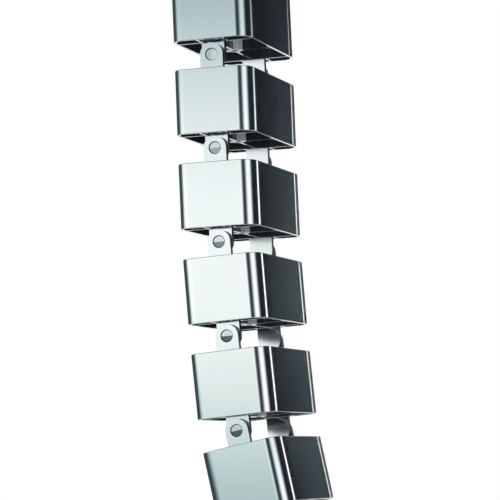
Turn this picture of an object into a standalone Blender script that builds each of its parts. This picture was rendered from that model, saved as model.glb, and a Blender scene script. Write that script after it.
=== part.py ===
"""Cable spine: a hanging chain of hinged box vertebrae that cables run down through.

Every vertebra is one cut length of the same extrusion. A link bar sits in its front and its rear
channel. Each bar ends in a half-thickness lug: the upper lug keeps the outer half and the lower
lug the inner half, so a lower lug laps behind the next vertebra's upper lug, and a short pin
joins the two. The model hangs from the top vertebra's upper pin axis, which is the origin.
X runs across the width, Y through the depth with the front at -Y, and Z is up.
"""
import math

import bmesh
import bpy
from mathutils import Matrix

# The chain
VERTEBRA_COUNT = 6
PITCH = 0.060                    # pin axis to pin axis
REST_BENDS = (-0.41, 0.35, 2.42, 1.18, 6.66)    # degrees at each joint, the lower piece towards +X

# The extruded profile
BOX_WIDTH = 0.052
BOX_DEPTH = 0.118
BOX_HEIGHT = 0.0415
CORNER_ACROSS = 0.0085           # the corner is a quarter of an ellipse, this far along X
CORNER_ALONG = 0.0135            # and this far along Y
WALL = 0.0018
WEB = 0.0016
CELL_FILLET = 0.0010
BOSS_RADIUS = 0.0052
BOSS_BORE_RADIUS = 0.0028
BOSS_FILLET = 0.0016
RIB_SPACING = 0.009              # between the two bearing ribs' middles
RIB_WIDTH = 0.002
EDGE_BREAK = 0.0003

# The link bars and their lugs
LUG_WIDTH = 0.015
LUG_THICKNESS = 0.0044
LUG_SETBACK = 0.0058             # from the box's face to the outer lug's face
LAP_GAP = 0.0003                 # between the two lapped lugs
SHOULDER_SINK = 0.0010           # the lap's shoulders lie this far inside the box
SEAT_GAP = 0.0002                # between a bar and the channel round it

# The pins
PIN_RADIUS = 0.0040
PIN_RUNNING_CLEARANCE = 0.00010
PIN_PRESS_CLEARANCE = 0.00005
PIN_RECESS = 0.0008
PIN_CHAMFER = 0.0004
PIN_FLOOR = 0.0008               # metal left behind the blind bore in the inner lug
PIN_END_SLOPE = 7                # degrees, one half of the pin's outer end falls back by this
FRONT_PIN_TURNS = (80, 5, 0, -2, 0)    # degrees, how each front pin's end is turned

# The countersunk screws that hold the bars in the channels
SCREW_RADIUS = 0.0015
SCREW_HEAD_RADIUS = 0.00275
SCREW_HEAD_RIM = 0.0002
SCREW_LENGTH = 0.0076
SCREW_CLEARANCE = 0.00010
SCREW_SIDE_OFFSET = 0.0046       # from the middle web to the screw's axis
SOCKET_ACROSS_FLATS = 0.0020
SOCKET_DEPTH = 0.0009

# Facets of the round forms
CORNER_STEPS = 7
FILLET_STEPS = 2
BOSS_STEPS = 5
BORE_SIDES = 16
LUG_SIDES = 24
PIN_SIDES = 24
SCREW_SIDES = 12
SHARP_ANGLE = 35                 # degrees, edges that turn more than this stay crisp

# Places that follow from the sizes above
HALF_WIDTH = BOX_WIDTH / 2
HALF_DEPTH = BOX_DEPTH / 2
BOX_TOP = -(PITCH - BOX_HEIGHT) / 2
BOX_BOTTOM = BOX_TOP - BOX_HEIGHT
BOX_MIDDLE = (BOX_TOP + BOX_BOTTOM) / 2
BAR_OUTER = HALF_DEPTH - LUG_SETBACK
OUTER_LUG_BACK = BAR_OUTER - LUG_THICKNESS
INNER_LUG_FACE = OUTER_LUG_BACK - LAP_GAP
BAR_INNER = INNER_LUG_FACE - LUG_THICKNESS
CHANNEL_OUTER = BAR_INNER - SEAT_GAP
CHANNEL_INNER = CHANNEL_OUTER - WEB
GUIDE_INNER = LUG_WIDTH / 2 + SEAT_GAP
GUIDE_OUTER = GUIDE_INNER + WEB
CUT_MARGIN = 0.002


def elliptic_arc(centre, across, along, start, end, steps):
    """Points on an ellipse's arc, with angles in degrees and both ends included."""
    angles = [math.radians(start + (end - start) * i / steps) for i in range(steps + 1)]
    return [(centre[0] + across * math.cos(a), centre[1] + along * math.sin(a)) for a in angles]


def arc(centre, radius, start, end, steps):
    return elliptic_arc(centre, radius, radius, start, end, steps)


def circle(radius, sides):
    """Corner points of a regular outline, the first on the X axis."""
    return arc((0, 0), radius, 0, 360, sides)[:-1]


def rounded_rectangle(x_low, x_high, y_low, y_high, sizes):
    """Outline with each corner's size across and along, from the low corner anticlockwise."""
    corners = ((x_low, y_low, 1, 1, 180), (x_high, y_low, -1, 1, 270),
               (x_high, y_high, -1, -1, 0), (x_low, y_high, 1, -1, 90))
    points = []
    for (x, y, side_x, side_y, start), (across, along) in zip(corners, sizes):
        centre = (x + side_x * across, y + side_y * along)
        steps = CORNER_STEPS if across > CELL_FILLET else FILLET_STEPS
        points += elliptic_arc(centre, across, along, start, start + 90, steps)
    return points


def main_cell():
    """The compartment at +X and +Y, which runs round a quarter of the boss."""
    web = WEB / 2
    along = math.sqrt((BOSS_RADIUS + BOSS_FILLET) ** 2 - (web + BOSS_FILLET) ** 2)
    lean = math.degrees(math.atan2(web + BOSS_FILLET, along))
    first = (along, web + BOSS_FILLET)
    second = (web + BOSS_FILLET, along)
    points = arc(first, BOSS_FILLET, -90, -180 + lean, FILLET_STEPS)
    points += arc((0, 0), BOSS_RADIUS, lean, 90 - lean, BOSS_STEPS)[1:-1]
    points += arc(second, BOSS_FILLET, 270 - lean, 180, FILLET_STEPS)
    x_high = HALF_WIDTH - WALL
    top = CHANNEL_INNER - CELL_FILLET
    side = x_high - CELL_FILLET
    points += arc((web + CELL_FILLET, top), CELL_FILLET, 180, 90, FILLET_STEPS)
    points += arc((side, top), CELL_FILLET, 90, 0, FILLET_STEPS)
    points += arc((side, web + CELL_FILLET), CELL_FILLET, 0, -90, FILLET_STEPS)
    return points


def side_cell():
    """The narrow cell beside the bar's channel, at +X and +Y."""
    fillet = (CELL_FILLET, CELL_FILLET)
    corner = (CORNER_ACROSS - WALL, CORNER_ALONG - WALL)
    return rounded_rectangle(GUIDE_OUTER, HALF_WIDTH - WALL, CHANNEL_OUTER, HALF_DEPTH - WALL,
                             (fillet, fillet, corner, fillet))


def bar_channel():
    """The channel that holds a link bar, at +Y, with two bearing ribs on the outer wall."""
    wall = HALF_DEPTH - WALL
    rib = BAR_OUTER + SEAT_GAP
    near = (RIB_SPACING - RIB_WIDTH) / 2
    far = (RIB_SPACING + RIB_WIDTH) / 2
    half = [(near, wall), (near, rib), (far, rib), (far, wall), (GUIDE_INNER, wall),
            (GUIDE_INNER, CHANNEL_OUTER)]
    return half + [(-x, y) for x, y in reversed(half)]


def mirrored(points, side_x, side_y):
    return [(side_x * x, side_y * y) for x, y in points]


def ring(bm, points, height):
    """A closed loop of new vertices and edges at one height."""
    verts = [bm.verts.new((x, y, height)) for x, y in points]
    edges = [bm.edges.new((a, b)) for a, b in zip(verts, verts[1:] + verts[:1])]
    return verts, edges


def skin(bm, upper, lower):
    """A band of faces between two rings with the same number of points."""
    for i in range(len(upper)):
        k = (i + 1) % len(upper)
        bm.faces.new((upper[i], lower[i], lower[k], upper[k]))


def finish_mesh(bm, name, sharp_angle=SHARP_ANGLE):
    bmesh.ops.recalc_face_normals(bm, faces=bm.faces[:])
    mesh = bpy.data.meshes.new(name)
    bm.to_mesh(mesh)
    bm.free()
    mesh.shade_smooth()
    mesh.set_sharp_from_angle(angle=math.radians(sharp_angle))
    return mesh


def turned(name, rings):
    """A closed solid from rings of points, each given as its outline and its height."""
    bm = bmesh.new()
    loops = [ring(bm, points, height)[0] for points, height in rings]
    for upper, lower in zip(loops, loops[1:]):
        skin(bm, upper, lower)
    bm.faces.new(loops[0])
    bm.faces.new(loops[-1])
    return finish_mesh(bm, name)


def prism(name, points, low, high):
    return turned(name, [(points, high), (points, low)])


def combine(mesh, steps):
    """Cuts or intersects a mesh with others and returns the result as one mesh."""
    body = bpy.data.objects.new(mesh.name, mesh)
    bpy.context.collection.objects.link(body)
    helpers = []
    for operation, tool_mesh in steps:
        tool = bpy.data.objects.new("cutter", tool_mesh)
        tool.hide_render = True
        tool.display_type = 'WIRE'
        bpy.context.collection.objects.link(tool)
        helpers.append(tool)
        change = body.modifiers.new(operation.lower(), 'BOOLEAN')
        change.operation = operation
        change.solver = 'EXACT'
        change.object = tool
    shape = body.evaluated_get(bpy.context.evaluated_depsgraph_get())
    result = bpy.data.meshes.new_from_object(shape)
    result.name = mesh.name
    result.shade_smooth()
    result.set_sharp_from_angle(angle=math.radians(SHARP_ANGLE))
    for thing in helpers + [body]:
        bpy.data.objects.remove(thing)
    return result


def screw_hole(start, depth):
    """The countersunk hole that a screw passes through, opening towards -Z at height start."""
    head = SCREW_HEAD_RADIUS + SCREW_CLEARANCE
    shank = SCREW_RADIUS + SCREW_CLEARANCE
    cone_end = start + SCREW_HEAD_RIM + SCREW_HEAD_RADIUS - SCREW_RADIUS
    return turned("screw_hole", [
        (circle(shank, SCREW_SIDES), start + depth),
        (circle(shank, SCREW_SIDES), cone_end),
        (circle(head, SCREW_SIDES), start + SCREW_HEAD_RIM),
        (circle(head, SCREW_SIDES), start - CUT_MARGIN)])


def profile_mesh():
    """The extruded box with its compartments, boss, channels and drilled channel walls."""
    def outer(inset):
        corner = (CORNER_ACROSS - inset, CORNER_ALONG - inset)
        return rounded_rectangle(-HALF_WIDTH + inset, HALF_WIDTH - inset,
                                 -HALF_DEPTH + inset, HALF_DEPTH - inset, (corner,) * 4)

    cells = [circle(BOSS_BORE_RADIUS, BORE_SIDES), bar_channel(), mirrored(bar_channel(), 1, -1)]
    for side_x in (1, -1):
        for side_y in (1, -1):
            cells.append(mirrored(main_cell(), side_x, side_y))
            cells.append(mirrored(side_cell(), side_x, side_y))
    bm = bmesh.new()
    skins = [(outer(EDGE_BREAK), BOX_TOP), (outer(0), BOX_TOP - EDGE_BREAK),
             (outer(0), BOX_BOTTOM + EDGE_BREAK), (outer(EDGE_BREAK), BOX_BOTTOM)]
    loops = [ring(bm, points, height) for points, height in skins]
    for (upper, _), (lower, _) in zip(loops, loops[1:]):
        skin(bm, upper, lower)
    top_edges = list(loops[0][1])
    bottom_edges = list(loops[-1][1])
    for cell in cells:
        upper, upper_edges = ring(bm, cell, BOX_TOP)
        lower, lower_edges = ring(bm, cell, BOX_BOTTOM)
        skin(bm, upper, lower)
        top_edges += upper_edges
        bottom_edges += lower_edges
    for edges in (top_edges, bottom_edges):
        bmesh.ops.triangle_fill(bm, use_beauty=True, use_dissolve=False, edges=edges)
    solid = finish_mesh(bm, "profile")
    holes = []
    for side in (-1, 1):
        hole = screw_hole(CHANNEL_INNER, WEB + CUT_MARGIN)
        turn = Matrix.Rotation(math.radians(90 if side < 0 else -90), 4, 'X')
        place = Matrix.Translation((-side * SCREW_SIDE_OFFSET, 0, BOX_MIDDLE))
        hole.transform(place @ turn)
        holes.append(('DIFFERENCE', hole))
    return combine(solid, holes)


def link_bar_mesh():
    """The front link bar: a flat bar with round ends, lapped to half its thickness at each end."""
    lug = LUG_WIDTH / 2
    top_shoulder = BOX_TOP - SHOULDER_SINK
    bottom_shoulder = BOX_BOTTOM + SHOULDER_SINK
    top = lug + CUT_MARGIN
    bottom = -PITCH - lug - CUT_MARGIN
    side_view = [(-BAR_OUTER, top), (-BAR_OUTER, bottom_shoulder),
                 (-INNER_LUG_FACE, bottom_shoulder), (-INNER_LUG_FACE, bottom),
                 (-BAR_INNER, bottom), (-BAR_INNER, top_shoulder),
                 (-OUTER_LUG_BACK, top_shoulder), (-OUTER_LUG_BACK, top)]
    blank = prism("link_bar", side_view, -lug - CUT_MARGIN, lug + CUT_MARGIN)
    blank.transform(Matrix(((0, 0, 1, 0), (1, 0, 0, 0), (0, 1, 0, 0), (0, 0, 0, 1))))
    steps = LUG_SIDES // 2
    outline = arc((0, PITCH), lug, 0, 180, steps) + arc((0, 0), lug, 180, 360, steps)
    slab = prism("outline", outline, BAR_INNER - CUT_MARGIN, BAR_OUTER + CUT_MARGIN)
    slab.transform(Matrix.Translation((0, 0, -PITCH)) @ Matrix.Rotation(math.radians(90), 4, 'X'))
    bores = []
    for height, clearance, end in ((0, PIN_PRESS_CLEARANCE, BAR_INNER - CUT_MARGIN),
                                   (-PITCH, PIN_RUNNING_CLEARANCE, BAR_INNER + PIN_FLOOR)):
        bore = prism("bore", circle(PIN_RADIUS + clearance, PIN_SIDES),
                     end, BAR_OUTER + CUT_MARGIN)
        bore.transform(Matrix.Translation((0, 0, height)) @ Matrix.Rotation(math.radians(90), 4, 'X'))
        bores.append(('DIFFERENCE', bore))
    tapped = prism("tapped_hole", circle(SCREW_RADIUS + SCREW_CLEARANCE, SCREW_SIDES),
                   BAR_INNER - CUT_MARGIN, CHANNEL_INNER + SCREW_LENGTH + SEAT_GAP)
    tapped.transform(Matrix.Translation((SCREW_SIDE_OFFSET, 0, BOX_MIDDLE))
                     @ Matrix.Rotation(math.radians(90), 4, 'X'))
    return combine(blank, [('INTERSECT', slab)] + bores + [('DIFFERENCE', tapped)])


def pin_mesh():
    """The front pin, sunk in the outer lug. The lower half of its outer end falls back."""
    outer = BAR_OUTER - PIN_RECESS
    inner = BAR_INNER + PIN_FLOOR + SEAT_GAP
    slope = math.tan(math.radians(PIN_END_SLOPE))
    rings = ((PIN_RADIUS - PIN_CHAMFER, outer, slope), (PIN_RADIUS, outer - PIN_CHAMFER, slope),
             (PIN_RADIUS, inner + PIN_CHAMFER, 0), (PIN_RADIUS - PIN_CHAMFER, inner, 0))
    bm = bmesh.new()
    loops = [[bm.verts.new((x, y, height + min(y, 0) * fall)) for x, y in circle(radius, PIN_SIDES)]
             for radius, height, fall in rings]
    for upper, lower in zip(loops, loops[1:]):
        skin(bm, upper, lower)
    half = PIN_SIDES // 2
    bm.faces.new(loops[0][:half + 1])
    bm.faces.new(loops[0][half:] + loops[0][:1])
    bm.faces.new(loops[-1])
    mesh = finish_mesh(bm, "pin", PIN_END_SLOPE / 2)
    mesh.transform(Matrix.Rotation(math.radians(90), 4, 'X'))
    return mesh


def hexagon(across_flats, sides):
    """A hexagon drawn with as many points as the ring round it."""
    points = []
    for x, y in circle(1, sides):
        angle = math.atan2(y, x)
        nearest_flat = (math.floor(angle / math.radians(60) + 1e-6) + 0.5) * math.radians(60)
        reach = across_flats / 2 / math.cos(angle - nearest_flat)
        points.append((x * reach, y * reach))
    return points


def screw_mesh():
    """The front screw: its flat head with a hexagon socket faces the compartment."""
    socket = hexagon(SOCKET_ACROSS_FLATS, SCREW_SIDES)
    head = circle(SCREW_HEAD_RADIUS, SCREW_SIDES)
    shank = circle(SCREW_RADIUS, SCREW_SIDES)
    cone_end = CHANNEL_INNER + SCREW_HEAD_RIM + SCREW_HEAD_RADIUS - SCREW_RADIUS
    mesh = turned("screw", [
        (shank, CHANNEL_INNER + SCREW_LENGTH), (shank, cone_end),
        (head, CHANNEL_INNER + SCREW_HEAD_RIM), (head, CHANNEL_INNER),
        (socket, CHANNEL_INNER), (socket, CHANNEL_INNER + SOCKET_DEPTH)])
    mesh.transform(Matrix.Translation((SCREW_SIDE_OFFSET, 0, BOX_MIDDLE))
                   @ Matrix.Rotation(math.radians(90), 4, 'X'))
    return mesh


def material(name, colour, roughness):
    made = bpy.data.materials.new(name)
    made.use_nodes = True
    shader = made.node_tree.nodes["Principled BSDF"]
    shader.inputs["Base Color"].default_value = (*colour, 1)
    shader.inputs["Metallic"].default_value = 1
    shader.inputs["Roughness"].default_value = roughness
    return made


def add(name, mesh, parent, rear=False, turn=0):
    """One piece in its vertebra. A rear piece is the front one turned half round."""
    piece = bpy.data.objects.new(name, mesh)
    bpy.context.collection.objects.link(piece)
    piece.parent = parent
    piece.rotation_euler = (0, math.radians(turn), math.pi if rear else 0)


def build():
    for old in list(bpy.data.objects):
        bpy.data.objects.remove(old)

    profile = profile_mesh()
    bar = link_bar_mesh()
    pin = pin_mesh()
    screw = screw_mesh()
    profile.materials.append(material("satin_profile", (0.80, 0.82, 0.83), 0.28))
    bar.materials.append(material("satin_bar", (0.78, 0.79, 0.80), 0.32))
    pin.materials.append(material("turned_pin", (0.62, 0.63, 0.65), 0.22))
    screw.materials.append(material("zinc_screw", (0.55, 0.56, 0.58), 0.35))

    carrier = None
    for number in range(1, VERTEBRA_COUNT + 1):
        axis = bpy.data.objects.new(f"vertebra_{number}_axis", None)
        bpy.context.collection.objects.link(axis)
        if carrier:
            axis.parent = carrier
            axis.location = (0, 0, -PITCH)
            axis.rotation_euler = (0, math.radians(-REST_BENDS[number - 2]), 0)
        add(f"vertebra_{number}_profile", profile, axis)
        for side in ("front", "rear"):
            rear = side == "rear"
            add(f"vertebra_{number}_{side}_link_bar", bar, axis, rear)
            add(f"vertebra_{number}_{side}_bar_screw", screw, axis, rear)
            if carrier:
                turn = 0 if rear else FRONT_PIN_TURNS[number - 2]
                add(f"joint_{number - 1}_{side}_pin", pin, axis, rear, turn)
        carrier = axis


build()
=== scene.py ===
import math

import bmesh
import bpy
from mathutils import Matrix, Vector


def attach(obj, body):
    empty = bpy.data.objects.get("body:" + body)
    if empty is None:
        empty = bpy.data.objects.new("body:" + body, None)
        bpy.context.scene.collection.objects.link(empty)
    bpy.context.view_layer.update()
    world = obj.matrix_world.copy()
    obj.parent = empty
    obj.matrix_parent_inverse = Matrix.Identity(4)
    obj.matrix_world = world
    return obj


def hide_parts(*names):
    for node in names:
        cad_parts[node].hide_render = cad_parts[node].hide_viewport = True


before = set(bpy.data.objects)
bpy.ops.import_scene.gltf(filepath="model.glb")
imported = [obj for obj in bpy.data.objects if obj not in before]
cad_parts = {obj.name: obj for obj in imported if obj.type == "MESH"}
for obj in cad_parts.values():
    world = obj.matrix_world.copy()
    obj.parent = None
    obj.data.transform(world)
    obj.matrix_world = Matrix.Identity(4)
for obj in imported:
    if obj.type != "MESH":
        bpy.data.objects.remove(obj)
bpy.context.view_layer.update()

# The chain hangs from the top piece's upper pin axis, with Z up and the front at -Y
chain = {
    "pitch": 0.060,                                # pin axis to pin axis
    "bends": (-0.41, 0.35, 2.42, 1.18, 6.66),      # degrees at each joint, one fewer than boxes
}


def chainTurns():
    turns = [Matrix.Identity(4)]
    for bend in chain["bends"]:
        drop = Matrix.Translation((0, 0, -chain["pitch"]))
        turns.append(turns[-1] @ drop @ Matrix.Rotation(math.radians(-bend), 4, "Y"))
    return turns


halfRound = Matrix.Rotation(math.pi, 4, "Z")
uprightToFront = Matrix.Rotation(math.radians(90), 4, "X")     # Z towards the front, Y up

# Camera

cameraSettings = {
    "place": (0.50543, -1.72950, -0.33245),
    "yaw": 16.155,          # degrees to the left of straight ahead
    "pitch": 4.774,
    "roll": 2.570,
    "lens": 199.83,
    "sensor": 36.0,
    "clip": (0.05, 60),
}


def makeCamera():
    yaw, pitch, roll = (math.radians(cameraSettings[key]) for key in ("yaw", "pitch", "roll"))
    turn = (Matrix.Rotation(yaw, 4, "Z") @ Matrix.Rotation(math.radians(90) + pitch, 4, "X")
            @ Matrix.Rotation(-roll, 4, "Z"))
    data = bpy.data.cameras.new("camera")
    data.lens = cameraSettings["lens"]
    data.sensor_width = cameraSettings["sensor"]
    data.clip_start, data.clip_end = cameraSettings["clip"]
    camera = bpy.data.objects.new("camera", data)
    bpy.context.collection.objects.link(camera)
    camera.matrix_world = Matrix.Translation(cameraSettings["place"]) @ turn
    bpy.context.scene.camera = camera


# Shader maths

class Wire:                          # an output socket that can be calculated with
    def __init__(self, nodes, socket):
        self.nodes = nodes
        self.socket = socket

    def join(self, operation, *values):
        return self.nodes.node("Math", {"operation": operation}, dict(enumerate(values)))

    def __add__(self, other):
        return self.join("ADD", self, other)

    def __radd__(self, other):
        return self.join("ADD", other, self)

    def __sub__(self, other):
        return self.join("SUBTRACT", self, other)

    def __rsub__(self, other):
        return self.join("SUBTRACT", other, self)

    def __mul__(self, other):
        return self.join("MULTIPLY", self, other)

    def __rmul__(self, other):
        return self.join("MULTIPLY", other, self)

    def __pow__(self, other):
        return self.join("POWER", self, other)

    def __rpow__(self, other):
        return self.join("POWER", other, self)

    def __abs__(self):
        return self.join("ABSOLUTE", self)

    def sine(self):
        return self.join("SINE", self)

    def ramp(self, low, high):       # 0 below low, 1 above high, smooth between
        return self.nodes.node("MapRange", {"interpolation_type": "SMOOTHSTEP"},
                               {"Value": self, "From Min": low, "From Max": high})


class Nodes:                         # a node tree, and the one way in which nodes are added to it
    def __init__(self, tree):
        self.tree = tree

    def node(self, kind, settings=None, values=None, out=0):
        made = self.tree.nodes.new("ShaderNode" + kind)
        for key, value in (settings or {}).items():
            setattr(made, key, value)
        for key, value in (values or {}).items():
            self.feed(made.inputs[key], value)
        return Wire(self, made.outputs[out])

    def feed(self, socket, value):
        if isinstance(value, Wire):
            self.tree.links.new(value.socket, socket)
        else:
            socket.default_value = value

    def surface(self, shader, output="Material Output"):
        self.feed(self.tree.nodes[output].inputs["Surface"], shader)


class Finish(Nodes):                 # one material and the nodes that feed its shader
    def __init__(self, name):
        self.material = bpy.data.materials.new(name)
        self.material.use_nodes = True
        super().__init__(self.material.node_tree)
        self.shader = self.tree.nodes["Principled BSDF"]

    def carried(self, name, out="Fac"):    # an attribute of the mesh
        return self.node("Attribute", {"attribute_name": name}, out=out)

    def spot(self):                  # where a point lies in its own piece, before the chain bends
        return self.carried("spot", "Vector")

    def batch(self):                 # a number that differs from piece to piece
        return self.carried("batch")

    def parts(self, vector):
        split = self.node("SeparateXYZ", values={"Vector": vector})
        return [Wire(self, split.socket.node.outputs[axis]) for axis in "XYZ"]

    def noise(self, vector, grain, shift=None):    # a grain is X, Y, Z scales, detail, roughness
        *scales, detail, roughness = grain
        scaled = self.node("VectorMath", {"operation": "MULTIPLY"}, {0: vector, 1: scales})
        values = {"Vector": scaled, "Scale": 1.0, "Detail": detail, "Roughness": roughness}
        if shift:
            values["W"] = shift
        return self.node("TexNoise", {"noise_dimensions": "4D" if shift else "3D"}, values)

    def blend(self, share, first, second):
        return self.node("Mix", {"data_type": "RGBA"}, {0: share, 6: first, 7: second}, out=2)

    def bump(self, height, distance):
        return self.node("Bump", values={"Height": height, "Distance": distance,
                                         "Strength": 1.0}, out="Normal")

    def shade(self, **values):
        for key, value in values.items():
            self.feed(self.shader.inputs[key.replace("_", " ")], value)
        return self.material


noiseRange = (0.3, 0.7)              # where a noise goes from the deep colour to the pale one
marksRange = (0.2, 0.8)              # the same for tool marks mixed with a noise

satinFinish = {
    "pale": (0.945, 0.955, 0.955, 1), "deep": (0.90, 0.925, 0.93, 1),
    "worn": (0.96, 0.965, 0.965, 1),
    "roughness": 0.12, "streakRoughness": 0.05, "smudgeRoughness": 0.04, "wearPolish": 0.04,
    "streakGrain": (900, 900, 5, 3, 0.6), "barStreakGrain": (1100, 1100, 9, 3, 0.6),
    "smudgeGrain": (38, 38, 24, 4, 0.55), "gritGrain": (5200, 5200, 5200, 1, 0.5),
    "streakShare": 0.6, "gritShare": 0.25, "streakHeight": 0.000004,
    "rimWear": 0.0007, "wearPatches": (0.38, 0.62), "wearShare": 0.7,
    "frontEase": (0.0375, 0.0535), "frontHeight": 0.0013,     # a side eases into its corners
    "rearEase": (0.0395, 0.0525), "rearHeight": 0.00153,      # the rear one more quickly
    "crown": 0.12,                   # and is a little crowned
}


def makeSatin(name, halfHeight, streakGrain):
    finish = Finish(name)
    spot = finish.spot()
    batch = finish.batch()
    streak = finish.noise(spot, streakGrain, batch)
    smudge = finish.noise(spot, satinFinish["smudgeGrain"], batch)
    grit = finish.noise(spot, satinFinish["gritGrain"])
    _, along, height = finish.parts(spot)
    wear = abs(height - boxMiddle).ramp(halfHeight - satinFinish["rimWear"], halfHeight)
    wear = wear * smudge.ramp(*satinFinish["wearPatches"])
    share = satinFinish["streakShare"]
    tone = (streak * share + smudge * (1 - share)).ramp(*noiseRange)
    colour = finish.blend(tone, satinFinish["deep"], satinFinish["pale"])
    colour = finish.blend(wear * satinFinish["wearShare"], colour, satinFinish["worn"])
    roughness = (satinFinish["roughness"] + (streak - 0.5) * satinFinish["streakRoughness"]
                 + (smudge - 0.5) * satinFinish["smudgeRoughness"]
                 - wear * satinFinish["wearPolish"])
    front = (along * -1).ramp(*satinFinish["frontEase"])
    rear = along.ramp(*satinFinish["rearEase"])
    relief = (streak + grit * satinFinish["gritShare"]) * satinFinish["streakHeight"]
    relief = relief - along * along * satinFinish["crown"]
    relief = relief - front * satinFinish["frontHeight"] - rear * satinFinish["rearHeight"]
    relief = relief + height * finish.carried("play")
    return finish.shade(Base_Color=colour, Metallic=1.0, Roughness=roughness,
                        Normal=finish.bump(relief, 1.0))


# The profile's inner walls: a near-black blue-grey base colour, painted shade that stands in for
# the unlit inside of the box
insidePaintedShade = {
    "pale": (0.12, 0.15, 0.19, 1), "deep": (0.07, 0.09, 0.12, 1), "metallic": 0.7,
    "roughness": 0.26,
}

# The boss: a pale, barely metallic base colour, a painted highlight that lifts it out of the
# painted-shade inside
bossPaintedLight = {
    "pale": (0.90, 0.96, 1.0, 1), "deep": (0.74, 0.82, 0.90, 1), "metallic": 0.25,
    "roughness": 0.34,
}

dieLines = {                         # drawn along every inner wall by the extruder's die
    "grain": (1300, 1300, 4, 3, 0.65), "height": 0.000008, "roughness": 0.12, "share": 0.5,
    "cloudGrain": (60, 60, 30, 3, 0.5),
}


# an inside finish: painted shade for the inner walls, painted light for the boss, with die lines
# over both
def makePaintedInside(name, look):
    finish = Finish(name)
    spot = finish.spot()
    line = finish.noise(spot, dieLines["grain"], finish.batch())
    cloud = finish.noise(spot, dieLines["cloudGrain"], finish.batch())
    share = dieLines["share"]
    colour = finish.blend((line * share + cloud * (1 - share)).ramp(*noiseRange),
                          look["deep"], look["pale"])
    return finish.shade(Base_Color=colour, Metallic=look["metallic"],
                        Roughness=look["roughness"] + (line - 0.5) * dieLines["roughness"],
                        Normal=finish.bump(line, dieLines["height"]))


cutFinish = {
    "pale": (0.96, 0.965, 0.965, 1), "deep": (0.86, 0.875, 0.88, 1),
    "roughness": 0.13, "markRoughness": 0.06, "markShare": 0.4, "markPitch": 0.00045,
    "markHeight": 0.000005, "cloudHeight": 0.5,      # the second as a share of the first
    "arcBend": 2.2, "waver": 0.0008,
    "waverGrain": (70, 70, 70, 2, 0.5), "cloudGrain": (900, 900, 900, 2, 0.6),
}


def makeCutEnd():                    # fine arcs left by the saw, softened by the anodising
    finish = Finish("sawn_end")
    spot = finish.spot()
    across, along, _ = finish.parts(spot)
    waver = finish.noise(spot, cutFinish["waverGrain"], finish.batch())
    arc = along + (across * across) * cutFinish["arcBend"] + waver * cutFinish["waver"]
    mark = (arc * (2 * math.pi / cutFinish["markPitch"])).sine() * 0.5 + 0.5
    cloud = finish.noise(spot, cutFinish["cloudGrain"])
    share = cutFinish["markShare"]
    colour = finish.blend((mark * share + cloud * (1 - share)).ramp(*marksRange),
                          cutFinish["deep"], cutFinish["pale"])
    return finish.shade(Base_Color=colour, Metallic=1.0,
                        Roughness=cutFinish["roughness"] + mark * cutFinish["markRoughness"],
                        Normal=finish.bump(mark + cloud * cutFinish["cloudHeight"],
                                           cutFinish["markHeight"]))


# A link bar's edges: a near-black base colour, painted shade for the dark band beside each lug
edgeShadeFinish = {
    "pale": (0.11, 0.12, 0.13, 1), "deep": (0.06, 0.065, 0.07, 1),
    "roughness": 0.30, "markRoughness": 0.14, "markGrain": (1800, 130, 1800, 2, 0.6),
    "markHeight": 0.000006,
}


def makeShadedBarEdge():                   # a link bar's milled edges, with lines through its thickness, and a near-black colour that is painted shade
    finish = Finish("milled_edge_painted_shade")
    spot = finish.spot()
    mark = finish.noise(spot, edgeShadeFinish["markGrain"], finish.batch())
    colour = finish.blend(mark.ramp(*noiseRange), edgeShadeFinish["deep"], edgeShadeFinish["pale"])
    roughness = edgeShadeFinish["roughness"] + (mark - 0.5) * edgeShadeFinish["markRoughness"]
    return finish.shade(Base_Color=colour, Metallic=1.0, Roughness=roughness,
                        Normal=finish.bump(mark, edgeShadeFinish["markHeight"]))


pinFinish = {
    "pale": (0.80, 0.82, 0.83, 1), "deep": (0.66, 0.68, 0.69, 1),
    "roughness": 0.10, "cloudRoughness": 0.06, "cloudGrain": (700, 700, 700, 2, 0.5),
    "ringShare": 0.4, "ringPitch": 0.00016, "ringHeight": 0.0000012,
}


def makePinSteel():                  # turned rings round the pin's axis
    finish = Finish("turned_steel")
    spot = finish.spot()
    across, along, up = finish.parts(spot)
    radius = (across * across + up * up) ** 0.5
    ring = (radius * (2 * math.pi / pinFinish["ringPitch"])).sine() * 0.5 + 0.5
    cloud = finish.noise(spot, pinFinish["cloudGrain"], finish.batch())
    share = pinFinish["ringShare"]
    colour = finish.blend((ring * share + cloud * (1 - share)).ramp(*marksRange),
                          pinFinish["deep"], pinFinish["pale"])
    return finish.shade(Base_Color=colour, Metallic=1.0,
                        Roughness=pinFinish["roughness"] + cloud * pinFinish["cloudRoughness"],
                        Normal=finish.bump(ring, pinFinish["ringHeight"]))


screwFinish = {
    "pale": (0.66, 0.67, 0.69, 1), "deep": (0.50, 0.51, 0.53, 1), "roughness": 0.26,
    "cloudRoughness": 0.1, "cloudGrain": (1400, 1400, 1400, 3, 0.6), "cloudHeight": 0.000004,
}


def makeZinc():
    finish = Finish("bright_zinc")
    spot = finish.spot()
    cloud = finish.noise(spot, screwFinish["cloudGrain"], finish.batch())
    colour = finish.blend(cloud.ramp(*noiseRange), screwFinish["deep"], screwFinish["pale"])
    return finish.shade(Base_Color=colour, Metallic=1.0,
                        Roughness=screwFinish["roughness"] + cloud * screwFinish["cloudRoughness"],
                        Normal=finish.bump(cloud, screwFinish["cloudHeight"]))


# Drawing and turning

joinReach = 1e-7                     # points nearer than this are one
crispAngle = 32                      # degrees, edges that turn more than this stay crisp
rimAngle = 40                        # degrees, edges that turn more than this are bevelled


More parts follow.
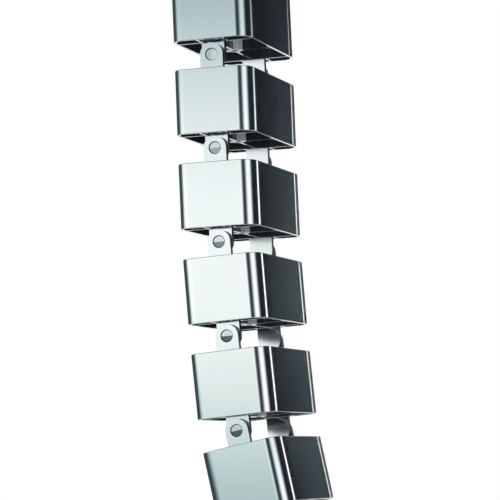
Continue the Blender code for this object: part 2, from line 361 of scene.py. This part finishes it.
class Pen:                           # draws one outline of edges, mirrored as asked
    def __init__(self, bm, height=0.0, sideX=1, sideY=1):
        self.bm = bm
        self.height = height
        self.sideX = sideX
        self.sideY = sideY

    def spot(self, x, y):
        return Vector((x * self.sideX, y * self.sideY, self.height))

    def start(self, x, y):
        self.first = self.tip = self.bm.verts.new(self.spot(x, y))

    def line(self, x, y):
        self.tip = bmesh.ops.extrude_vert_indiv(self.bm, verts=[self.tip])["verts"][0]
        self.tip.co = self.spot(x, y)

    def path(self, points):
        self.start(*points[0])
        for point in points[1:]:
            self.line(*point)

    def arc(self, x, y, degrees, steps, stretchX=1, stretchY=1):
        known = len(self.bm.verts)
        centre = self.spot(x, y)
        turned = bmesh.ops.spin(self.bm, geom=[self.tip], cent=centre, axis=(0, 0, 1),
                                angle=math.radians(degrees) * self.sideX * self.sideY, steps=steps)
        bmesh.ops.scale(self.bm, verts=self.bm.verts[:][known:], vec=(stretchX, stretchY, 1),
                        space=Matrix.Translation(-centre))
        self.tip = turned["geom_last"][0]

    def close(self):                 # the outline's points in order
        if (self.tip.co - self.first.co).length < joinReach:
            bmesh.ops.weld_verts(self.bm, targetmap={self.tip: self.first})
        else:
            self.bm.edges.new((self.tip, self.first))
        loop = [self.first]
        edge = self.first.link_edges[0]
        while edge.other_vert(loop[-1]) is not self.first:
            loop.append(edge.other_vert(loop[-1]))
            edge = next(other for other in loop[-1].link_edges if other is not edge)
        return loop

    def rectangle(self, lowX, highX, lowY, highY, sizes, steps):    # anticlockwise from low
        self.start(lowX, lowY + sizes[0][1])
        corners = ((lowX, lowY, 1, 1), (highX, lowY, -1, 1), (highX, highY, -1, -1),
                   (lowX, highY, 1, -1))
        for (x, y, inX, inY), (across, along), count in zip(corners, sizes, steps):
            upright = inX == inY     # the corner begins on an upright side of the outline
            begin = (x, y + inY * along) if upright else (x + inX * across, y)
            if (self.tip.co - self.spot(*begin)).length > joinReach:
                self.line(*begin)
            stretch = (1, along / across) if upright else (across / along, 1)
            self.arc(x + inX * across, y + inY * along, 90, count, *stretch)
        return self.close()


def pairs(loop):
    return list(zip(loop, loop[1:] + loop[:1]))


def mitres(loop, inwards):           # how each point of an outline moves when it is offset by 1
    turned = sum(a.co.x * b.co.y - b.co.x * a.co.y for a, b in pairs(loop)) > 0
    side = 1 if turned == inwards else -1
    normals = []
    for here, after in pairs(loop):
        along = (after.co - here.co).normalized()
        normals.append(side * Vector((-along.y, along.x, 0)))
    return [(before + after) / (1 + before.dot(after))
            for before, after in zip(normals[-1:] + normals[:-1], normals)]


def extrudeLoop(bm, loop):
    edges = [bm.edges.get(pair) for pair in pairs(loop)]
    made = bmesh.ops.extrude_edge_only(bm, edges=edges)["geom"]
    fresh = {item for item in made if isinstance(item, bmesh.types.BMVert)}
    faces = [item for item in made if isinstance(item, bmesh.types.BMFace)]
    moved = [next(edge.other_vert(vert) for edge in vert.link_edges
                  if edge.other_vert(vert) in fresh) for vert in loop]
    return moved, faces


def rimLevels(radius, steps):        # offset and drop of each ring of a rounded rim
    angles = [math.radians(90 * step / steps) for step in range(steps + 1)]
    return [(radius * (1 - math.sin(angle)), radius * (1 - math.cos(angle))) for angle in angles]


def finishMesh(bm, name, sharpAngle=crispAngle):
    bmesh.ops.recalc_face_normals(bm, faces=bm.faces[:])
    mesh = bpy.data.meshes.new(name)
    bm.to_mesh(mesh)
    bm.free()
    mesh.shade_smooth()
    mesh.set_sharp_from_angle(angle=math.radians(sharpAngle))
    return mesh


def slabFrom(bm, loop, low, high):   # a closed solid between two heights from a drawn outline
    for vert in loop:
        vert.co.z = low
    face = bm.faces.new(loop)
    made = bmesh.ops.extrude_face_region(bm, geom=[face])["geom"]
    bmesh.ops.translate(bm, vec=(0, 0, high - low),
                        verts=[item for item in made if isinstance(item, bmesh.types.BMVert)])


def roundBar(radius, low, high, sides):
    bm = bmesh.new()
    bmesh.ops.create_cone(bm, cap_ends=True, segments=sides, radius1=radius, radius2=radius,
                          depth=high - low, matrix=Matrix.Translation((0, 0, (low + high) / 2)))
    return bm


def turnedSolid(name, points, sides, finishNumber=0):     # spun from points of radius and height
    bm = bmesh.new()
    Pen(bm).path(points)
    bmesh.ops.rotate(bm, verts=bm.verts[:], matrix=Matrix.Rotation(math.radians(90), 3, "X"))
    bmesh.ops.spin(bm, geom=bm.verts[:] + bm.edges[:], axis=(0, 0, 1), cent=(0, 0, 0),
                   angle=2 * math.pi, steps=sides, use_merge=True)
    bmesh.ops.remove_doubles(bm, verts=bm.verts[:], dist=joinReach)
    for face in bm.faces:
        face.material_index = finishNumber
    return finishMesh(bm, name)


def cutWith(mesh, steps, bevel=None):      # applies Booleans, and a small bevel, to a master mesh
    body = bpy.data.objects.new(mesh.name, mesh)
    bpy.context.collection.objects.link(body)
    helpers = [body]
    for operation, tool in steps:
        helper = bpy.data.objects.new("cutter", tool)
        bpy.context.collection.objects.link(helper)
        helpers.append(helper)
        change = body.modifiers.new(operation.lower(), "BOOLEAN")
        change.operation = operation
        change.solver = "EXACT"
        change.object = helper
    if bevel:
        soften = body.modifiers.new("bevel", "BEVEL")
        soften.width = bevel
        soften.segments = 2
        soften.limit_method = "ANGLE"
        soften.angle_limit = math.radians(rimAngle)
    shape = body.evaluated_get(bpy.context.evaluated_depsgraph_get())
    result = bpy.data.meshes.new_from_object(shape)
    result.name = mesh.name
    result.shade_smooth()
    result.set_sharp_from_angle(angle=math.radians(crispAngle))
    for thing in helpers:
        bpy.data.objects.remove(thing)
    return result


# The extruded boxes

boxShape = {
    "width": 0.052, "depth": 0.118, "height": 0.0415, "wall": 0.0018,
    "cornerAcross": 0.0085, "cornerAlong": 0.0135,     # a quarter of an ellipse
    "web": 0.0016, "cellFillet": 0.0010, "boss": 0.0052, "bossBore": 0.0028,
    "bossFillet": 0.0016, "ribSpacing": 0.009, "ribWidth": 0.002,
    "rim": 0.00035, "rimSteps": 3, "cellRim": 0.00018, "cellRimSteps": 2,
    "cornerSteps": 28, "filletSteps": 6, "bossSteps": 16, "boreSteps": 48,
    "bossReach": (0.0001, 0.0006),   # past the bore and the boss, faces between are the boss's
}

barShape = {
    "width": 0.01494, "thickness": 0.0044, "setback": 0.0058, "lapGap": 0.0003,
    "shoulderSink": 0.0010, "seatGap": 0.0002, "softEdge": 0.00022, "roundSteps": 40,
    "flatFrom": 0.9,                 # a flat face's normal lies along Y by more than this
    "rearPlay": (4.5, 3.3, 2.0, -1.4, -2.8, 0),     # degrees that a rear bar's faces look down
}

halfWidth = boxShape["width"] / 2
halfDepth = boxShape["depth"] / 2
boxTop = -(chain["pitch"] - boxShape["height"]) / 2
boxBottom = boxTop - boxShape["height"]
boxMiddle = (boxTop + boxBottom) / 2
barOuter = halfDepth - barShape["setback"]
outerLugBack = barOuter - barShape["thickness"]
innerLugFace = outerLugBack - barShape["lapGap"]
barInner = innerLugFace - barShape["thickness"]
channelOuter = barInner - barShape["seatGap"]
channelInner = channelOuter - boxShape["web"]
guideInner = barShape["width"] / 2 + barShape["seatGap"]
guideOuter = guideInner + boxShape["web"]
overrun = 0.002                      # how far a cutter runs past what it cuts


def drawMainCell(pen):
    web, boss, fillet = boxShape["web"] / 2, boxShape["boss"], boxShape["bossFillet"]
    soft, steps = boxShape["cellFillet"], boxShape["filletSteps"]
    along = math.sqrt((boss + fillet) ** 2 - (web + fillet) ** 2)
    lean = math.degrees(math.atan2(web + fillet, along))
    top = channelInner - soft
    side = halfWidth - boxShape["wall"] - soft
    pen.start(along, web)
    pen.arc(along, web + fillet, lean - 90, steps)
    pen.arc(0, 0, 90 - 2 * lean, boxShape["bossSteps"])
    pen.arc(web + fillet, along, lean - 90, steps)
    pen.line(web, top)
    pen.arc(web + soft, top, -90, steps)
    pen.line(side, top + soft)
    pen.arc(side, top, -90, steps)
    pen.line(side + soft, web + soft)
    pen.arc(side, web + soft, -90, steps)
    return pen.close()


def drawSideCell(pen):
    soft, wall = (boxShape["cellFillet"],) * 2, boxShape["wall"]
    corner = (boxShape["cornerAcross"] - wall, boxShape["cornerAlong"] - wall)
    steps = boxShape["filletSteps"]
    return pen.rectangle(guideOuter, halfWidth - wall, channelOuter, halfDepth - wall,
                         (soft, soft, corner, soft), (steps, steps, boxShape["cornerSteps"], steps))


def drawChannel(pen):                # two ribs on the outer wall bear on the link bar
    wall = halfDepth - boxShape["wall"]
    rib = barOuter + barShape["seatGap"]
    near = (boxShape["ribSpacing"] - boxShape["ribWidth"]) / 2
    far = (boxShape["ribSpacing"] + boxShape["ribWidth"]) / 2
    half = [(near, wall), (near, rib), (far, rib), (far, wall), (guideInner, wall),
            (guideInner, channelOuter)]
    pen.path(half + [(-x, y) for x, y in reversed(half)])
    return pen.close()


def drawBore(pen):
    pen.start(boxShape["bossBore"], 0)
    pen.arc(0, 0, 360, boxShape["boreSteps"])
    return pen.close()


def makeBoxMaster():
    bm = bmesh.new()
    steps = boxShape["cornerSteps"]
    corner = (boxShape["cornerAcross"], boxShape["cornerAlong"])
    outlines = [(Pen(bm, boxTop).rectangle(-halfWidth, halfWidth, -halfDepth, halfDepth,
                                           (corner,) * 4, (steps,) * 4), True)]
    outlines.append((drawBore(Pen(bm, boxTop)), False))
    for sideY in (1, -1):
        outlines.append((drawChannel(Pen(bm, boxTop, 1, sideY)), False))
        for sideX in (1, -1):
            outlines.append((drawMainCell(Pen(bm, boxTop, sideX, sideY)), False))
            outlines.append((drawSideCell(Pen(bm, boxTop, sideX, sideY)), False))
    topEdges, bottomEdges = [], []
    for loop, outside in outlines:
        name = "rim" if outside else "cellRim"
        rim = rimLevels(boxShape[name], boxShape[name + "Steps"])
        levels = [(offset, boxTop - drop) for offset, drop in rim]
        levels += [(offset, boxBottom + drop) for offset, drop in reversed(rim)]
        places = [vert.co.copy() for vert in loop]
        ways = mitres(loop, outside)
        wallLevel = len(rim)
        for number, (offset, height) in enumerate(levels):
            if number:
                loop, faces = extrudeLoop(bm, loop)
                for face in faces:
                    # inner walls take finish 1, the painted-shade inside
                    face.material_index = (0 if outside else 1) if number == wallLevel else 2
            else:
                topEdges += [bm.edges.get(pair) for pair in pairs(loop)]
            for vert, place, way in zip(loop, places, ways):
                vert.co = place + way * offset
                vert.co.z = height
        bottomEdges += [bm.edges.get(pair) for pair in pairs(loop)]
    for edges in (topEdges, bottomEdges):
        made = bmesh.ops.triangle_fill(bm, use_beauty=True, use_dissolve=False,
                                       edges=edges)["geom"]
        for item in made:
            if isinstance(item, bmesh.types.BMFace):
                item.material_index = 2
    box = finishMesh(bm, "box")
    holes = []
    for side in (-1, 1):
        hole = screwHole()
        middle = Vector((-side * screwShape["sideOffset"], side * channelInner, boxMiddle))
        hole.transform(Matrix.Translation(middle)
                       @ Matrix.Rotation(math.radians(-90 * side), 4, "X"))
        holes.append(("DIFFERENCE", hole))
    box = cutWith(box, holes)
    near, far = (boxShape[key] + reach
                 for key, reach in zip(("bossBore", "boss"), boxShape["bossReach"]))
    # faces round the boss take finish 3, the painted-light boss
    for face in box.polygons:
        if face.material_index == 1 and near < face.center.xy.length < far:
            face.material_index = 3
    return box


# The link bars

def makeBarMaster():                 # the front bar, lapped to half its thickness at each end
    half = barShape["width"] / 2
    pitch = chain["pitch"]
    topShoulder = boxTop - barShape["shoulderSink"]
    bottomShoulder = boxBottom + barShape["shoulderSink"]
    top, bottom = half + overrun, -pitch - half - overrun
    bm = bmesh.new()
    pen = Pen(bm)
    pen.path(((-barOuter, top), (-barOuter, bottomShoulder), (-innerLugFace, bottomShoulder),
              (-innerLugFace, bottom), (-barInner, bottom), (-barInner, topShoulder),
              (-outerLugBack, topShoulder), (-outerLugBack, top)))
    slabFrom(bm, pen.close(), -half - overrun, half + overrun)
    blank = finishMesh(bm, "link_bar")
    blank.transform(Matrix(((0, 0, 1, 0), (1, 0, 0, 0), (0, 1, 0, 0), (0, 0, 0, 1))))
    bm = bmesh.new()
    pen = Pen(bm)
    pen.start(half, 0)
    pen.arc(0, 0, 180, barShape["roundSteps"])
    pen.line(-half, -pitch)
    pen.arc(0, -pitch, 180, barShape["roundSteps"])
    slabFrom(bm, pen.close(), barInner - overrun, barOuter + overrun)
    outline = finishMesh(bm, "outline")
    outline.transform(uprightToFront)
    steps = [("INTERSECT", outline)]
    for height, clearance, end in ((0, pinShape["pressGap"], barInner - overrun),
                                   (-pitch, pinShape["runGap"], barInner + pinShape["floor"])):
        bore = finishMesh(roundBar(pinShape["radius"] + clearance, end, barOuter + overrun,
                                   pinShape["boreSides"]), "bore")
        bore.transform(Matrix.Translation((0, 0, height)) @ uprightToFront)
        steps.append(("DIFFERENCE", bore))
    tapped = finishMesh(roundBar(screwShape["radius"] + screwShape["clearance"], barInner - overrun,
                                 channelInner + screwShape["length"] + barShape["seatGap"],
                                 screwShape["tappedSides"]), "tapped_hole")
    tapped.transform(Matrix.Translation((screwShape["sideOffset"], 0, boxMiddle)) @ uprightToFront)
    steps.append(("DIFFERENCE", tapped))
    bar = cutWith(blank, steps, barShape["softEdge"])
    for face in bar.polygons:
        # the bar's edges take finish 1, painted shade
        face.material_index = 0 if abs(face.normal.y) > barShape["flatFrom"] else 1
    return bar


# The pins

pinShape = {
    "radius": 0.0040, "pressGap": 0.00005, "runGap": 0.0001, "recess": 0.0008, "floor": 0.0008,
    "facet": 7.0,                    # degrees, the sloping half of the end face
    "facetTurns": (80, 5, 0, -2, 0),     # degrees round each front pin
    "softEdge": 0.00045, "sides": 72, "boreSides": 64, "sharpAngle": 5,
}


def makePin(turn):                   # the front pin, its outer end half flat and half sloping
    outer = barOuter - pinShape["recess"]
    inner = barInner + pinShape["floor"] + barShape["seatGap"]
    slope = math.radians(pinShape["facet"])
    bm = roundBar(pinShape["radius"], inner, outer, pinShape["sides"])
    made = bmesh.ops.bisect_plane(bm, geom=bm.verts[:] + bm.edges[:] + bm.faces[:],
                                  plane_co=(0, 0, outer), dist=joinReach,
                                  plane_no=(0, -math.sin(slope), math.cos(slope)),
                                  clear_outer=True)["geom_cut"]
    bmesh.ops.contextual_create(bm, geom=[item for item in made
                                          if isinstance(item, bmesh.types.BMEdge)])
    rims = [edge for edge in bm.edges if edge.is_manifold
            and edge.calc_face_angle() > math.radians(rimAngle)]
    bmesh.ops.bevel(bm, geom=rims, offset=pinShape["softEdge"], affect="EDGES", segments=3,
                    profile=0.5, material=-1)
    bmesh.ops.rotate(bm, verts=bm.verts[:], matrix=Matrix.Rotation(math.radians(turn), 3, "Z"))
    mesh = finishMesh(bm, "pin", pinShape["sharpAngle"])
    mesh.transform(uprightToFront)
    return mesh


# The countersunk screws

screwShape = {
    "radius": 0.0015, "head": 0.00275, "headRim": 0.0002, "length": 0.0076, "clearance": 0.0001,
    "sideOffset": 0.0046, "flats": 0.0020, "socketDepth": 0.0009,
    "headBreak": 0.0001, "tipBreak": 0.0003, "sides": 48, "tappedSides": 32,
}


def screwHole():                     # countersunk, with its axis along Z and the head low
    head, shank = (screwShape[key] + screwShape["clearance"] for key in ("head", "radius"))
    cone = screwShape["headRim"] + screwShape["head"] - screwShape["radius"]
    end = boxShape["web"] + overrun
    points = ((0, -overrun), (head, -overrun), (head, screwShape["headRim"]), (shank, cone),
              (shank, end), (0, end))
    return turnedSolid("screw_hole", points, screwShape["sides"], 1)


def makeScrew():                     # the front screw, its socket towards the compartment
    head, headRim, shank, length, headBreak, tipBreak = (
        screwShape[key] for key in ("head", "headRim", "radius", "length", "headBreak", "tipBreak"))
    points = ((0, 0), (head - headBreak, 0), (head, headBreak), (head, headRim),
              (shank, headRim + head - shank), (shank, length - tipBreak),
              (shank - tipBreak, length), (0, length))
    body = turnedSolid("screw", points, screwShape["sides"])
    socket = finishMesh(roundBar(screwShape["flats"] / math.sqrt(3), -overrun,
                                 screwShape["socketDepth"], 6), "socket")     # six-sided
    screw = cutWith(body, [("DIFFERENCE", socket)])
    screw.transform(Matrix.Translation((screwShape["sideOffset"], -channelInner, boxMiddle))
                    @ Matrix.Rotation(math.radians(90), 4, "X"))
    return screw


# Placing

def carry(mesh, name, kind, values):     # gives each point of a mesh an attribute
    field = {"FLOAT": "value", "FLOAT_VECTOR": "vector", "FLOAT_COLOR": "color"}[kind]
    mesh.attributes.new(name, kind, "POINT").data.foreach_set(field, values)


def place(name, master, turn, body, node, slotName, finishes, batch, play=0.0):
    mesh = master.copy()
    mesh.name = name
    count = len(mesh.vertices)
    carry(mesh, "spot", "FLOAT_VECTOR", [number for vert in mesh.vertices for number in vert.co])
    carry(mesh, "batch", "FLOAT", [batch] * count)
    carry(mesh, "play", "FLOAT", [math.tan(math.radians(play))] * count)
    mesh.transform(turn)
    for finish in finishes:
        mesh.materials.append(finish)
    piece = bpy.data.objects.new(name, mesh)
    bpy.context.collection.objects.link(piece)
    flat = piece.modifiers.new("weighted_normal", "WEIGHTED_NORMAL")
    flat.keep_sharp = True
    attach(piece, body)
    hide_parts(node)


batchShifts = {"box": 1.7, "bar": 2.3, "rear": 0.9}     # keep two pieces from looking the same


def makeChain():
    satin = makeSatin("satin_anodised", boxShape["height"] / 2, satinFinish["streakGrain"])
    barSatin = makeSatin("satin_bar", chain["pitch"], satinFinish["barStreakGrain"])
    # the inside finish is painted shade and the boss finish is painted light
    inside, boss = makePaintedInside("extruded_inside_painted_shade", insidePaintedShade), makePaintedInside("boss", bossPaintedLight)
    # the bar edge finish is painted shade
    cutEnd, shadedBarEdge = makeCutEnd(), makeShadedBarEdge()
    steel, zinc = makePinSteel(), makeZinc()
    print("finishes made")
    box, bar, screw = makeBoxMaster(), makeBarMaster(), makeScrew()
    print("box", len(box.polygons), "bar", len(bar.polygons), "screw", len(screw.polygons))
    for number, turn in enumerate(chainTurns(), 1):
        body = f"vertebra_{number}"
        place(f"box_{number}", box, turn, body, f"{body}_profile", "profile",
              (satin, inside, cutEnd, boss), number * batchShifts["box"])
        for side, spin in (("front", Matrix.Identity(4)), ("rear", halfRound)):
            shift = number * batchShifts["bar"] + (batchShifts["rear"] if side == "rear" else 0)
            place(f"link_bar_{number}_{side}", bar, turn @ spin, body, f"{body}_{side}_link_bar",
                  "link_bar", (barSatin, shadedBarEdge), shift,
                  barShape["rearPlay"][number - 1] if side == "rear" else 0)
            place(f"screw_{number}_{side}", screw, turn @ spin, body, f"{body}_{side}_bar_screw",
                  "screw", (zinc,), shift)
            if number > 1:
                facet = pinShape["facetTurns"][number - 2] if side == "front" else 0
                place(f"pin_{number - 1}_{side}", makePin(facet), turn @ spin, body,
                      f"joint_{number - 1}_{side}_pin", "pin", (steel,), shift)
    print("chain placed")


# Studio: a pale floor, an even white surrounding, and cards that only metal mirrors

studio = {
    "floorHeight": -0.62, "floorRadius": 30.0, "floorRoughness": 0.7,
    "floorDeep": (0.66, 0.66, 0.66, 1), "floorPale": (0.68, 0.68, 0.68, 1),
    "floorGrain": (9, 9, 9, 3, 0.5), "floorFade": (0.7, 3.0),     # it goes over into plain white
    "around": 0.9,                  # the surrounding's strength on surfaces that aren't glossy
    "lampPower": 22.0, "lampSize": 1.6, "lampPlace": (0.9, -1.3, 1.9),
    "cardMiddle": (0, 0, -0.20), "cardStep": 1.0, "cardRise": 0.5,     # steps in degrees
    "lidRadius": 2.6, "discSides": 96,
}

# Each card takes degrees round from the front towards +X and degrees up, with colours by height,
# a brightness by direction and the soft margins of its two sides and of its lower and upper ends
cards = {
    "front_card": {
        "radius": 2.6, "round": (-110, 20), "tall": (-19, 40), "soft": (4, 0.1, 3, 3),
        "tones": ((-19, (0.03, 0.05, 0.06)), (-15, (0.042, 0.07, 0.08)),
                  (-11.8, (0.07, 0.10, 0.105)), (-8.6, (0.185, 0.245, 0.26)),
                  (-5.4, (0.40, 0.57, 0.55)), (-3.4, (0.40, 0.52, 0.53)),
                  (-2.2, (0.52, 0.68, 0.65)), (-0.4, (0.76, 0.85, 0.83)),
                  (1.2, (0.84, 0.925, 0.91)), (2.8, (0.97, 1.0, 1.0)), (6.0, (0.96, 1.0, 1.0)),
                  (7.9, (0.907, 0.98, 0.966)), (9.3, (0.743, 0.826, 0.813)),
                  (10.7, (0.72, 0.80, 0.80)), (11.2, (0.66, 0.78, 0.76)),
                  (12.7, (0.42, 0.53, 0.55)), (13.6, (0.38, 0.48, 0.52)), (40, (0.10, 0.14, 0.16))),
        "shares": ((-110, 1.0), (-40, 1.15), (-21, 1.1), (-16.5, 1.0), (-12, 1.03), (-2, 1.15)),
    },
    "corner_card": {
        "radius": 2.6, "round": (20, 126), "tall": (-19, 40), "soft": (0.1, 0.1, 3, 3),
        "tones": ((-19, (0.3, 0.35, 0.35)), (-8, (0.8, 0.85, 0.85)), (-4, (1.06, 1.08, 1.08)),
                  (8.5, (1.06, 1.08, 1.08)), (10.3, (0.95, 1.05, 1.07)), (13, (0.55, 0.66, 0.71)),
                  (40, (0.10, 0.14, 0.16))),
    },
    "dark_flag": {
        "radius": 2.5, "round": (-8, 72), "tall": (-19, 40), "soft": (30, 32, 3, 3),
        "tones": ((-19, (0.028, 0.045, 0.058)), (40, (0.028, 0.045, 0.058))),
    },
    "right_flag": {
        "radius": 2.5, "round": (83.5, 135), "tall": (-19, 40), "soft": (24, 2, 3, 3),
        "tones": ((-19, (0.006, 0.011, 0.016)), (40, (0.008, 0.014, 0.02))),
    },
    "line_card": {
        "radius": 2.6, "round": (126, 186), "tall": (-6, 40), "soft": (0.1, 2, 2, 2),
        "tones": ((-6, (1.65, 1.65, 1.65)), (7, (1.65, 1.65, 1.65)), (10.3, (1.0, 1.05, 1.08)),
                  (13, (0.35, 0.42, 0.45)), (40, (0.1, 0.1, 0.1))),
        "shares": ((126, 1.0), (155, 1.0), (168, 1.65)),
    },
    "side_flag": {
        "radius": 2.5, "round": (142, 172), "tall": (-19, 40), "soft": (3, 1.2, 1.5, 1.5),
        "tones": ((-3, (0.3, 0.6, 0.8)), (2, (0.34, 0.66, 0.85)), (4.5, (0.8, 1.25, 1.4)),
                  (6.6, (0.65, 0.95, 1.1)), (10, (0.45, 0.64, 0.9)), (13, (0.35, 0.45, 0.6)),
                  (40, (0.3, 0.4, 0.5))),
        "shares": ((141, 0.006), (162, 0.006), (163.5, 0.013), (165.3, 0.062), (168, 0.02),
                   (172, 0.01)),
    },
    "rear_flag": {
        "radius": 2.5, "round": (174.7, 202), "tall": (-3, 40), "soft": (1.2, 1.5, 1.5, 1.5),
        "tones": ((-3, (0.006, 0.01, 0.014)), (40, (0.01, 0.014, 0.02))),
    },
    "left_flag": {
        "radius": 2.4, "round": (200, 298), "tall": (-10, 40), "soft": (3, 38, 3, 3),
        "tones": ((-10, (0.035, 0.06, 0.06)), (40, (0.05, 0.08, 0.08))),
    },
    "left_low_flag": {
        "radius": 2.45, "round": (212, 298), "tall": (-19, -5), "soft": (8, 38, 1, 2),
        "tones": ((-19, (0.035, 0.06, 0.06)), (-5, (0.035, 0.06, 0.06))),
    },
}

# Discs above and below, which only metal mirrors
lids = {
    "top_lid": {"up": 36, "colour": (0.012, 0.018, 0.026)},
    "low_lid": {"up": -18, "colour": (0.42, 0.45, 0.47)},
}


def between(stops, place):           # a value, or a colour, read off a list of stops
    for (low, first), (high, second) in zip(stops, stops[1:]):
        if place <= high:
            share = max(0.0, (place - low) / (high - low))
            return Vector(first).lerp(Vector(second), share)
    return Vector(stops[-1][1])


def smooth(share):
    share = min(max(share, 0.0), 1.0)
    return share * share * (3 - 2 * share)


def makeCardFinish():
    finish = Finish("card")
    glow = finish.node("Emission", values={"Color": finish.carried("tone", "Color"),
                                           "Strength": 1.0})
    clear = finish.node("BsdfTransparent")
    finish.surface(finish.node("MixShader", values={0: finish.carried("fade"), 1: clear, 2: glow}))
    return finish.material


def placeCard(mesh, tones, fades, finish):
    carry(mesh, "tone", "FLOAT_COLOR", tones)
    carry(mesh, "fade", "FLOAT", fades)
    mesh.materials.append(finish)
    made = bpy.data.objects.new(mesh.name, mesh)
    bpy.context.collection.objects.link(made)
    made.location = studio["cardMiddle"]
    for view in ("camera", "diffuse", "transmission", "volume_scatter", "shadow"):
        setattr(made, "visible_" + view, False)


def makeCard(name, card, finish):    # part of a cylinder round the object
    low, high = card["tall"]
    start, end = card["round"]
    soft = card["soft"]
    radius = card["radius"]
    rise = round((high - low) / studio["cardRise"])
    bm = bmesh.new()
    Pen(bm).path([(0, radius * math.tan(math.radians(low + (high - low) * step / rise)))
                  for step in range(rise + 1)])
    bmesh.ops.rotate(bm, verts=bm.verts[:], matrix=Matrix.Rotation(math.radians(90), 3, "X"))
    bmesh.ops.translate(bm, verts=bm.verts[:], vec=(0, -radius, 0))
    bmesh.ops.rotate(bm, verts=bm.verts[:], matrix=Matrix.Rotation(math.radians(start), 3, "Z"))
    bmesh.ops.spin(bm, geom=bm.verts[:] + bm.edges[:], axis=(0, 0, 1), cent=(0, 0, 0),
                   angle=math.radians(end - start), steps=round((end - start) / studio["cardStep"]))
    mesh = finishMesh(bm, name)
    shares = [(place, (value, 0, 0)) for place, value in card.get("shares", ((0, 1),))]
    tones, fades = [], []
    for vert in mesh.vertices:
        angle = math.degrees(math.atan2(vert.co.x, -vert.co.y))
        if angle < start - 1:        # past the rear, where the angle starts again
            angle += 360
        height = math.degrees(math.atan2(vert.co.z, radius))
        tones += [*(between(card["tones"], height) * between(shares, angle).x), 1]
        margins = (angle - start, end - angle, height - low, high - height)
        fades.append(math.prod(smooth(margin / width) for margin, width in zip(margins, soft)))
    placeCard(mesh, tones, fades, finish)


def disc(radius, height):
    bm = bmesh.new()
    bmesh.ops.create_circle(bm, cap_ends=True, segments=studio["discSides"], radius=radius)
    bmesh.ops.translate(bm, verts=bm.verts[:], vec=(0, 0, height))
    return bm


def makeLid(name, lid, finish):
    radius = studio["lidRadius"]
    mesh = finishMesh(disc(radius, radius * math.tan(math.radians(lid["up"]))), name)
    count = len(mesh.vertices)
    placeCard(mesh, [*lid["colour"], 1] * count, [1.0] * count, finish)


def makeFloor():
    bm = disc(studio["floorRadius"], studio["floorHeight"])
    mesh = bpy.data.meshes.new("floor")
    bm.to_mesh(mesh)
    bm.free()
    finish = Finish("floor")
    spot = finish.node("TexCoord", out="Object")
    x, y, _ = finish.parts(spot)
    far = ((x * x + y * y) ** 0.5).ramp(*studio["floorFade"])
    cloud = finish.noise(spot, studio["floorGrain"])
    colour = finish.blend(cloud.ramp(*noiseRange), studio["floorDeep"], studio["floorPale"])
    finish.shade(Base_Color=colour, Roughness=studio["floorRoughness"])
    glow = finish.node("Emission", values={"Strength": 1.0})
    shader = Wire(finish, finish.shader.outputs["BSDF"])
    finish.surface(finish.node("MixShader", values={0: far, 1: shader, 2: glow}))
    mesh.materials.append(finish.material)
    floor = bpy.data.objects.new("floor", mesh)
    bpy.context.collection.objects.link(floor)
    floor.visible_glossy = False


def makeWorld():
    world = bpy.data.worlds.new("world")
    bpy.context.scene.world = world
    world.use_nodes = True
    nodes = Nodes(world.node_tree)
    camera, glossy, through = (nodes.node("LightPath", out=f"Is {kind} Ray")
                               for kind in ("Camera", "Glossy", "Transmission"))
    seen = nodes.node("Math", {"operation": "MAXIMUM"}, {0: camera, 1: glossy})
    seen = nodes.node("Math", {"operation": "MAXIMUM"}, {0: seen, 1: through})
    around, white = (nodes.node("Background", values={"Color": (1, 1, 1, 1), "Strength": strength})
                     for strength in (studio["around"], 1.0))
    nodes.surface(nodes.node("MixShader", values={0: seen, 1: around, 2: white}), "World Output")


def makeLamp():                      # a large soft lamp over the front, for the floor's shadow
    data = bpy.data.lights.new("soft_lamp", "AREA")
    data.size = studio["lampSize"]
    data.energy = studio["lampPower"]
    lamp = bpy.data.objects.new("soft_lamp", data)
    bpy.context.collection.objects.link(lamp)
    lamp.location = studio["lampPlace"]
    aim = Vector(studio["cardMiddle"]) - Vector(studio["lampPlace"])
    lamp.rotation_euler = aim.to_track_quat("-Z", "Y").to_euler()
    lamp.visible_glossy = False


def makeStudio():
    makeFloor()
    makeWorld()
    makeLamp()
    finish = makeCardFinish()
    for name, card in cards.items():
        makeCard(name, card, finish)
    for name, lid in lids.items():
        makeLid(name, lid, finish)
    print("studio made")


bpy.context.scene.view_settings.view_transform = "Standard"
makeCamera()
makeChain()
makeStudio()
